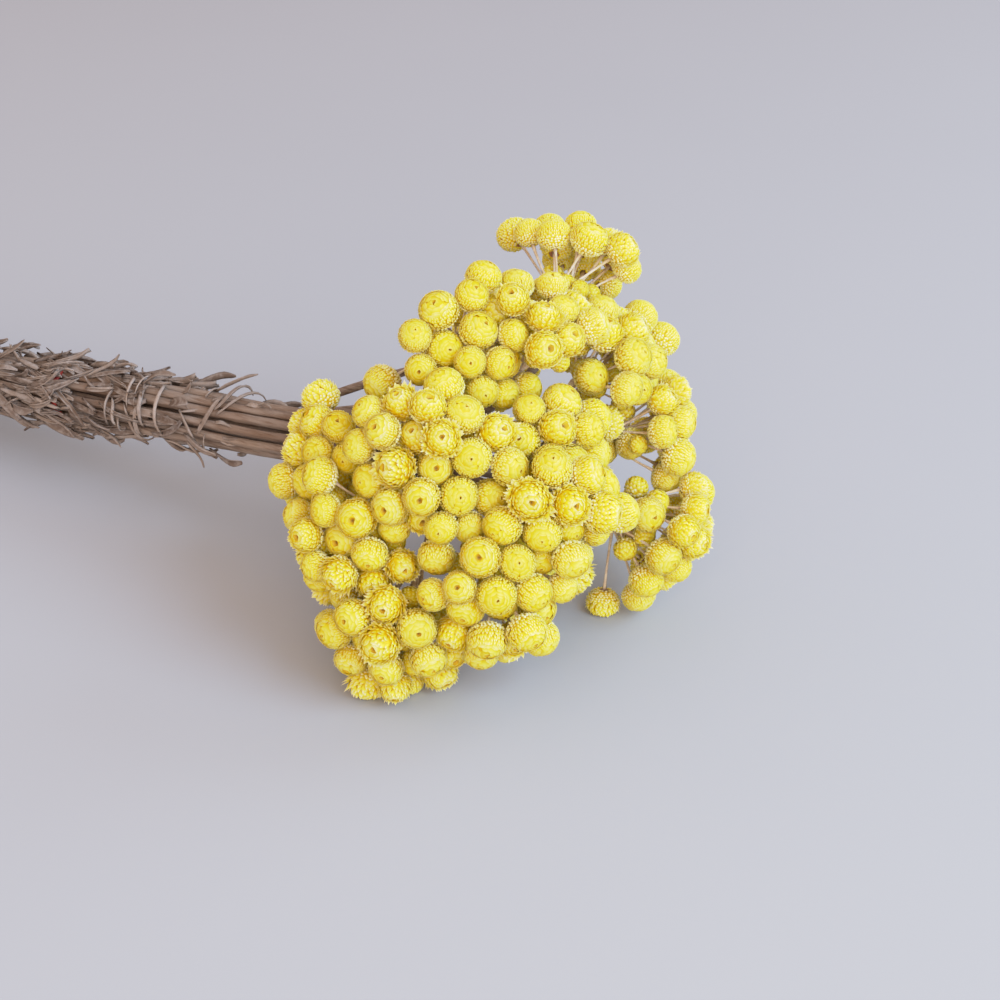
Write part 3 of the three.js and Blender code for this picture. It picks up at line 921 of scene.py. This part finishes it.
def smooth_line(spots, steps):
    """A line through a few spots, rounded between them."""
    line = []
    ends = [2 * spots[0] - spots[1]] + spots + [2 * spots[-1] - spots[-2]]
    for a, b, c, d in zip(ends, ends[1:], ends[2:], ends[3:]):
        for i in range(steps):
            t = i / steps
            slope, bow, twist = c - a, 2 * a - 5 * b + 4 * c - d, 3 * b - a - 3 * c + d
            line.append(0.5 * (2 * b + slope * t + bow * t ** 2 + twist * t ** 3))
    return line + [spots[-1]]


def curled_line(root, way, out, side, long, rise, curl, drift, steps):
    """A line that leaves its root at an angle and winds up more and more towards its tip."""
    line = [root]
    for i in range(steps):
        t = (i + 0.5) / steps
        angle = rise + curl * t * t
        ahead = way * math.cos(angle) + out * math.sin(angle) + side * drift * t
        line.append(line[-1] + unit(ahead) * long / steps)
    return line


def above_table(line, height):
    """A line of the layout, placed, with no point closer to the table than height."""
    return [placed([p[0], p[1], max(p[2], PRESSED + height)]) for p in line]


def add_leaf(bm, line, side, width, roll, twist, tone, blunt):
    """A withered blade along a line: edges rolled in, twisted, closed all round."""
    tones = bm.verts.layers.float["tone"]
    steps = len(line) - 1
    blade = bmesh.ops.create_grid(bm, x_segments=3, y_segments=steps, size=1.0)["verts"]
    for vert in blade:
        u, v = vert.co.x, (vert.co.y + 1) / 2
        step = min(steps - 1, int(v * steps + 1e-6))
        part = v * steps - step
        point = line[step].lerp(line[step + 1], part)
        ahead = (line[step + 1] - line[step]).normalized()
        across = (side - ahead * side.dot(ahead)).normalized()
        up = across.cross(ahead)
        turn = twist * v
        across, up = (
            across * math.cos(turn) + up * math.sin(turn),
            up * math.cos(turn) - across * math.sin(turn),
        )
        taper = 0.45 + 0.55 * min(1, v * 4)
        taper *= 1 - (1 - blunt) * max(0, (v - 0.55) / 0.45) ** 1.5
        bent = u * roll
        half = width * taper / 2 / roll
        vert.co = point + across * math.sin(bent) * half + up * (1 - math.cos(bent)) * half
        vert.co.z = max(vert.co.z, LOWEST_LEAF)
        vert[tones] = min(1, max(0, tone + 0.3 * abs(u) - 0.5 * max(0, v - 0.8)))
    faces = list(dict.fromkeys(face for vert in blade for face in vert.link_faces))
    bmesh.ops.solidify(bm, geom=faces, thickness=BLADE_THICK)


def main_leaves(bm, leaves, draw):
    """The larger leaves, each along the leaf of the solid stem."""
    for spots, side in leaves:
        spots = spots[:2] + [spots[1] + 0.6 * (spots[2] - spots[1])]
        line = above_table(smooth_line(spots, 4), 1.0)
        add_leaf(
            bm, line, Vector(side), LEAF_WIDTH * MM * draw.uniform(0.8, 1.1),
            draw.uniform(0.8, 1.8), draw.uniform(-1.0, 1.0), draw.random() * 0.8,
            draw.uniform(0.1, 0.4),
        )


def dead_leaf(bm, place, turn, sizes, lift, draw):
    """One shrivelled leaf that lies along the bundle, its tip to either end."""
    long, wide, rise, curl = sizes
    out = around(turn)
    side = np.cross(ALONG, out)
    way = ALONG * (1 if draw.random() < 0.75 else -1) + side * draw.uniform(-0.45, 0.45)
    root = THROAT + ALONG * place + out * lift
    line = curled_line(root, unit(way), out, side, long, rise, curl, draw.uniform(-0.7, 0.7), 6)
    line = above_table(line, 0.8)
    add_leaf(
        bm, line, Vector(side), wide * MM, draw.uniform(1.0, 2.8),
        draw.uniform(-2.2, 2.2), draw.random() ** 1.5, draw.uniform(0.15, 0.7),
    )


def stem_height(spray, place):
    """How far a stem stands off the bundle's line at a place along it."""
    return np.linalg.norm(bundle_point(spray, place) - THROAT - ALONG * place)


def small_leaves(bm, spray, cut, draw, count):
    """Shrivelled leaves on the stem, curling close to it."""
    for _ in range(count):
        place = -cut + 4 + (cut - 18) * draw.random() ** 1.3
        turn = spray["slot"] + draw.uniform(-60, 60)
        sizes = [draw.uniform(*span) for span in SMALL_LEAF]
        dead_leaf(bm, place, turn, sizes, stem_height(spray, place) + STEM_RADIUS * 0.7, draw)


def leaf_litter(bm, spray, cut, draw, count):
    """The thick coat of dead leaves over the lower part of the bundle."""
    for _ in range(count):
        place = -cut + 6 + (cut - 52) * draw.random() ** 0.8
        over_band = draw.random() < BAND_COVER
        if over_band:
            place = BAND_PLACE - draw.uniform(*BAND_COVER_PLACE)
        turn = spray["slot"] + draw.uniform(-25, 25)
        if abs(place - BAND_PLACE) < BARE_LENGTH and abs(turn - BARE_TURN) < BARE_ANGLE:
            continue
        sizes = [draw.uniform(*span) for span in LITTER_LEAF]
        lift = stem_height(spray, place) + STEM_RADIUS + draw.uniform(0.1, 1.2)
        dead_leaf(bm, place, turn, sizes, lift + 0.9 * over_band, draw)


def loose_ribbons(bm, spray, draw, count):
    """Long pale leaves that wind round the bundle and hang below it."""
    for _ in range(count):
        place = draw.uniform(*RIBBON_PLACE)
        turn = spray["slot"] + draw.uniform(-40, 40)
        hand = 1 if draw.random() < 0.5 else -1
        line = []
        long = draw.uniform(*RIBBON_LONG)
        reach = ROWS[2] + STEM_RADIUS + draw.uniform(0.6, 1.2)
        swing = draw.uniform(30, 120) * hand
        stand = draw.uniform(0.5, 4.5)
        for i in range(RIBBON_STEPS + 1):
            t = i / RIBBON_STEPS
            far = reach + stand * math.sin(math.pi * t) * t
            spot = THROAT + ALONG * (place + long * (t - 0.6 * t * t))
            line.append(spot + around(turn + swing * t) * far)
        line = above_table(line, 0.8)
        add_leaf(
            bm, line, Vector(ALONG), draw.uniform(1.2, 2.0) * MM, draw.uniform(0.8, 1.8),
            draw.uniform(-1.6, 1.6), draw.uniform(0.3, 1.0), draw.uniform(0.2, 0.6),
        )


# Sprays

BARK_RIDGES = (1.04, 0.86, 1.0, 0.9, 1.1, 0.95, 0.84, 1.05, 0.9)
HEAD_SWELL = 1.01
BUD_SHARE = 0.75
BUD_RADIUS = (2.3, 3.5)
BUD_AWAY = (0.42, 0.72)
STEM_SIDES, NECK_SIDES, BRANCH_SIDES, PEDICEL_SIDES = 18, 10, 8, 6
NECK_SWELL = (1.02, 1.0, 1.0, 1.2, 0.9)
BRANCH_SWELL = (1.25, 1.0, 0.95, 0.92, 1.0, 1.25)
PEDICEL_SWELL = (1.35, 1.0, 0.85, 0.8, 0.8, 0.95, 1.5)


def stem_piece(spray, cut):
    """A woody stem: ridged, a little crooked, its thickness varying a little along it."""
    draw = random.Random(40 + spray["index"])
    bm = mesh_with("tone")
    points = stem_line(spray, cut)
    first, second = sideways(ALONG)
    phases = [draw.uniform(0, 6.28) for _ in range(4)]
    line = []
    radii = []
    for i, point in enumerate(points):
        t = i / (len(points) - 1)
        near_end = min(1, 6 * t, 6 * (1 - t))
        sway = 0.4 * math.sin(9 * t + phases[0]) + 0.2 * math.sin(27 * t + phases[1])
        lift = 0.35 * math.sin(8 * t + phases[2]) + 0.2 * math.sin(31 * t + phases[3])
        line.append(placed(point + (first * sway + second * lift) * near_end))
        radius = STEM_RADIUS + (STEM_TIP_RADIUS - STEM_RADIUS) * t * t
        radii.append(radius * draw.uniform(0.9, 1.1) * MM)
    add_stalk(bm, line, radii, STEM_SIDES, draw.random(), BARK_RIDGES)
    for vert in bm.verts:
        vert.co.z = max(vert.co.z, LOWEST_BARK)
    finish_piece(bm, f"{spray['name']}_bark", BARK, [f"{spray['name']}_stem"])


def leaf_piece(spray, cut, leaves):
    """All the leaves of one stem; the outer stems also carry litter and ribbons."""
    draw = random.Random(80 + spray["index"])
    bm = mesh_with("tone")
    main_leaves(bm, leaves, draw)
    small_leaves(bm, spray, cut, draw, SMALL_LEAVES[spray["row"]])
    if spray["row"] == 2:
        leaf_litter(bm, spray, cut, draw, LITTER_LEAVES)
        loose_ribbons(bm, spray, draw, RIBBONS)
    finish_piece(bm, f"{spray['name']}_leaves", LEAVES)


def bowed(start, end, bow, steps):
    """A line from start to end, bowed sideways."""
    middle = (start + end) / 2 + bow
    points = []
    for i in range(steps + 1):
        t = i / steps
        points.append(start * (1 - t) ** 2 + middle * (2 * t * (1 - t)) + end * t * t)
    return points


def sideways_push(direction, draw, amount):
    """A push of a given amount at right angles to a direction."""
    side = direction.cross(Vector((draw.uniform(-1, 1), draw.uniform(-1, 1), draw.uniform(-1, 1))))
    return side.normalized() * amount


def branch(bm, fork, joint, draw):
    """A stalk from the spray's fork to the fork of one umbel."""
    bow = sideways_push(joint - fork, draw, 0.5 * MM)
    radii = [BRANCH_RADIUS * MM * swell for swell in BRANCH_SWELL]
    line = bowed(fork, joint, bow, len(radii) - 1)
    add_stalk(bm, line, radii, BRANCH_SIDES, draw.uniform(0.2, 0.7))


def pedicel(bm, joint, foot, bow, thick, draw):
    """A thin stalk from a fork to a head, wider at both ends."""
    radii = [thick * MM * swell for swell in PEDICEL_SWELL]
    line = bowed(joint, foot, bow, len(radii) - 1)
    add_stalk(bm, line, radii, PEDICEL_SIDES, draw.uniform(0.3, 1.0))


def bud_places(spray, draw):
    """Small unopened heads under the open ones, where nothing else stands."""
    found = []
    for i in range(round(spray["heads"] * BUD_SHARE)):
        radius = draw.uniform(*BUD_RADIUS)
        off = HEAD_STEP * math.sqrt((i + 0.8) / BUD_SHARE) / spray["fan"]
        turn = (i + 0.5) * GOLDEN_ANGLE + spray["index"] + 1
        place = crown_point(spray, off, turn, spray["fan"] * draw.uniform(*BUD_AWAY))
        if place[2] < radius + PRESSED:
            continue
        clear = all(
            np.linalg.norm(place - head["place"]) > 0.8 * (radius + head["radius"])
            for head in all_heads
        )
        if clear:
            found.append((place, radius))
    return found


def add_bloom(stalks, flowers, head, joint, spray_tone, draw):
    """One open head on its pedicel. The lower it hangs, the older and more ragged it may be."""
    centre = placed(head["place"])
    radius = head["radius"] * MM * HEAD_SWELL
    out = (centre - joint).normalized()
    facing = (out + sideways_push(out, draw, draw.uniform(0, 0.3))).normalized()
    bow = sideways_push(out, draw, draw.uniform(0.2, 2.2 if head["stray"] else 1.1) * MM)
    pedicel(stalks, joint, centre - facing * radius * 0.69, bow, PEDICEL_RADIUS, draw)
    lowness = 1 - min(1, max(0, centre.z / 0.05))
    age = (draw.random() + 0.25 * lowness) ** 1.6
    forms = FORMS[min(len(FORMS) - 1, int(age * len(FORMS)))]
    tone = min(1, max(0, spray_tone + draw.uniform(-0.45, 0.45)))
    add_head(
        flowers, forms[draw.randrange(len(forms))], centre, facing, radius,
        draw.uniform(0, 2 * math.pi), draw.uniform(0.96, 1.04), tone,
    )


def add_bud(stalks, flowers, place, radius, joints, draw):
    """One unopened head on a thinner pedicel, from the nearest fork."""
    centre = placed(place)
    joint = min(joints, key=lambda spot: (spot - centre).length)
    facing = (centre - joint).normalized()
    foot = centre - facing * radius * MM * 0.72
    bow = sideways_push(facing, draw, 0.4 * MM)
    pedicel(stalks, joint, foot, bow, PEDICEL_RADIUS * 0.8, draw)
    add_head(
        flowers, BUDS[draw.randrange(len(BUDS))], centre, facing, radius * MM,
        draw.uniform(0, 2 * math.pi), 1.0, draw.random() * 0.6,
    )


def blooms_pieces(spray, heads):
    """The stalks, flower heads and buds of one spray."""
    draw = random.Random(160 + spray["index"])
    stalks = mesh_with("tone")
    flowers = mesh_with(*HEAD_LAYERS)
    fork = placed(spray["fork"])
    neck = placed(spray["fork"] - spray["facing"] * (NECK + 0.6))
    neck_line = [neck.lerp(fork, i / 4) for i in range(5)]
    add_stalk(stalks, neck_line, [NECK_RADIUS * MM * r for r in NECK_SWELL], NECK_SIDES, 0.2)
    spray_tone = draw.uniform(0.2, 0.8)
    joints = []
    for umbel_fork, members in fork_heads(spray, heads):
        joints.append(placed(umbel_fork))
        branch(stalks, fork, joints[-1], draw)
        for head in members:
            add_bloom(stalks, flowers, head, joints[-1], spray_tone, draw)
    for place, radius in bud_places(spray, draw):
        add_bud(stalks, flowers, place, radius, joints, draw)
    finish_piece(stalks, f"{spray['name']}_stalks", STALKS)
    finish_piece(flowers, f"{spray['name']}_heads", BRACTS, [f"{spray['name']}_blooms"])


BAND_STEPS = 96
BAND_THICK = 0.0006
BAND_HUG = STEM_RADIUS * 1.1
BAND_LEAST = ROWS[2] + 0.72 * STEM_RADIUS


def band_reach(middle, out):
    """How far the outer stems hold the band off the bundle's line in a direction."""
    reach = BAND_LEAST
    for spray in sprays:
        stem = bundle_point(spray, BAND_PLACE) - middle
        along = stem @ out
        off = math.sqrt(max(0.0, stem @ stem - along * along))
        if along > 0 and off < BAND_HUG:
            reach = max(reach, along + math.sqrt(BAND_HUG ** 2 - off * off))
    return reach


def band_piece():
    """The thin elastic band, pulled in where it crosses from one outer stem to the next."""
    middle = THROAT + ALONG * BAND_PLACE
    bm = bmesh.new()
    steps = BAND_STEPS
    ring = [band_reach(middle, around(360 * i / steps)) for i in range(steps)]
    for _ in range(3):
        ring = [(ring[i - 1] + 2 * ring[i] + ring[(i + 1) % steps]) / 4 for i in range(steps)]
    made = bmesh.ops.create_cone(
        bm, cap_ends=False, segments=steps, radius1=1.0, radius2=1.0, depth=1.0
    )["verts"]
    for vert in made:
        turn = math.degrees(math.atan2(vert.co.y, vert.co.x)) % 360
        far = ring[round(turn * steps / 360) % steps] + 0.25
        spot = middle + around(turn) * far + ALONG * vert.co.z * BAND_WIDTH * 0.9
        vert.co = placed(spot + ALONG * 0.5 * math.sin(math.radians(turn * 2)))
    bmesh.ops.recalc_face_normals(bm, faces=bm.faces)
    bmesh.ops.solidify(bm, geom=list(bm.faces), thickness=BAND_THICK)
    bmesh.ops.recalc_face_normals(bm, faces=bm.faces)
    finish_piece(bm, "red_band", band_material(), ["binding_band"])


# Stage


def floor_piece():
    """The plain pale table top, which isn't part of the bunch."""
    bm = bmesh.new()
    bmesh.ops.create_grid(bm, x_segments=1, y_segments=1, size=4.0)
    mesh = kept_mesh(bm, "floor")
    material, tree, shader = new_material("pale_table", 0.9, 0.15)
    cloudy = noise(tree, 3, 4)
    shade = mixed(tree, cloudy, colour(157, 159, 163), colour(163, 165, 169))
    feed(tree, shader, {"Base Color": shade})
    mesh.materials.append(material)
    linked("floor", mesh)


def area_light(name, place, target, size, power, tint):
    """A round soft lamp that faces the target."""
    light = bpy.data.lights.new(name, "AREA")
    light.shape = "DISK"
    light.size = size
    light.energy = power
    light.color = tint
    lamp = linked(name, light)
    lamp.location = place
    lamp.rotation_mode = "QUATERNION"
    lamp.rotation_quaternion = (lamp.location - target).to_track_quat("Z", "Y")


VIEW_AZIMUTH = math.radians(33)
VIEW_ELEVATION = math.radians(30)
VIEW_RIGHT = Vector((math.cos(VIEW_AZIMUTH), math.sin(VIEW_AZIMUTH), 0))
VIEW_AHEAD = Vector((-math.sin(VIEW_AZIMUTH), math.cos(VIEW_AZIMUTH), 0))
VIEW_LENS = 75.0
SENSOR = 36.0
VIEW_DISTANCE = 527
VIEW_TARGET = 60
TARGET_PIXEL = (490, 472)
PICTURE = 1000


def camera():
    """Looks down on the flower mass; the target on the bundle's line shows at its pixel."""
    up = VIEW_AHEAD * math.sin(VIEW_ELEVATION) + Vector((0, 0, math.cos(VIEW_ELEVATION)))
    back = Vector((0, 0, math.sin(VIEW_ELEVATION))) - VIEW_AHEAD * math.cos(VIEW_ELEVATION)
    target = placed(THROAT + ALONG * VIEW_TARGET)
    scale = VIEW_DISTANCE * MM * SENSOR / (VIEW_LENS * PICTURE)
    right = (TARGET_PIXEL[0] - PICTURE / 2) * scale
    down = (TARGET_PIXEL[1] - PICTURE / 2) * scale
    data = bpy.data.cameras.new("camera")
    data.lens = VIEW_LENS
    data.sensor_width = SENSOR
    data.clip_start = 0.01
    camera_object = linked("camera", data)
    camera_object.location = target + back * VIEW_DISTANCE * MM - VIEW_RIGHT * right + up * down
    turned = Matrix((VIEW_RIGHT, up, back)).transposed()
    camera_object.rotation_euler = turned.to_euler()
    bpy.context.scene.camera = camera_object


# Each lamp: metres to the right, ahead and up from the flowers, size, power and tint

LAMPS = {
    "window": ((0.855, -0.702, 0.765), 1.0, 25.5, (0.5, 0.72, 1.0)),
    "side": ((1.1, 0.5, 0.75), 0.9, 8, (0.55, 0.75, 1.0)),
    "front": ((0.05, -1.25, 0.5), 1.2, 15, (1.0, 0.83, 0.75)),
}
ROOM_LIGHT, ROOM_TINT = 0.95, (1.0, 0.8, 0.71, 1)
SHOULDER = [(0.35, 0.35), (0.6, 0.58), (0.8, 0.7)]
BRIGHTEST = (1.0, 0.77)


def lights():
    """Cool soft lamps in a warm room, and a view that eases its brightest tones."""
    centre = placed(MIDDLE)
    for name, (offset, size, power, tint) in LAMPS.items():
        right, ahead, up = offset
        place = centre + VIEW_RIGHT * right + VIEW_AHEAD * ahead + Vector((0, 0, up))
        area_light(name, place, centre, size, power, tint)
    world = bpy.data.worlds.new("room")
    world.use_nodes = True
    tree = world.node_tree
    feed(tree, tree.nodes["Background"], {"Color": ROOM_TINT, "Strength": ROOM_LIGHT})
    bpy.context.scene.world = world
    view = bpy.context.scene.view_settings
    view.view_transform = "Standard"
    view.use_curve_mapping = True
    curve = view.curve_mapping.curves[3]
    for bright, shown in SHOULDER:
        curve.points.new(bright, shown)
    curve.points[-1].location = BRIGHTEST
    view.curve_mapping.update()


# Making of the bunch

SCALE = spike("scale_bract", (0.2, 0.58, 1.04), (0.7, 0.03), -0.01)
KNOBBED = spike("knobbed_bract", (0.28, 0.64, 1.0), (0.74, 0.085), -0.02)
CURLED = curled_bract()
ROUNDED = rounded_bract()
FORMS = [
    [
        head_form(kind, RAGGED_HEAD if kind["ragged"] >= 0.1 else OPEN_HEAD, 7 * i + seed)
        for seed in range(2)
    ]
    for i, kind in enumerate(HEAD_KINDS)
]
BUDS = [head_form(BUD, CLOSED_BUD, 90 + seed) for seed in range(2)]
BRACTS = bract_material()
STALKS = dry_material("woolly_stalks", *WOOLLY_STALKS)
BARK = dry_material("fibrous_stems", *FIBROUS_STEMS)
LEAVES = dry_material("withered_leaves", *WITHERED_LEAVES)

sprays = [place_spray(index, values) for index, values in enumerate(SPRAYS)]
all_heads = [head for spray in sprays for head in place_heads(spray)]
all_heads += [place_stray(sprays, *values) for values in STRAYS]
settle(all_heads)
for spray in sprays:
    stem_cut, leaf_lines = leaf_spots(spray, seeded(LEAF_SEED + spray["index"] * LEAF_SEED_STEP))
    stem_piece(spray, stem_cut)
    leaf_piece(spray, stem_cut, leaf_lines)
    blooms_pieces(spray, [head for head in all_heads if head["spray"] is spray])
for form in [SCALE, KNOBBED, CURLED, ROUNDED, *BUDS, *sum(FORMS, [])]:
    bpy.data.meshes.remove(form)
band_piece()
floor_piece()
lights()
camera()
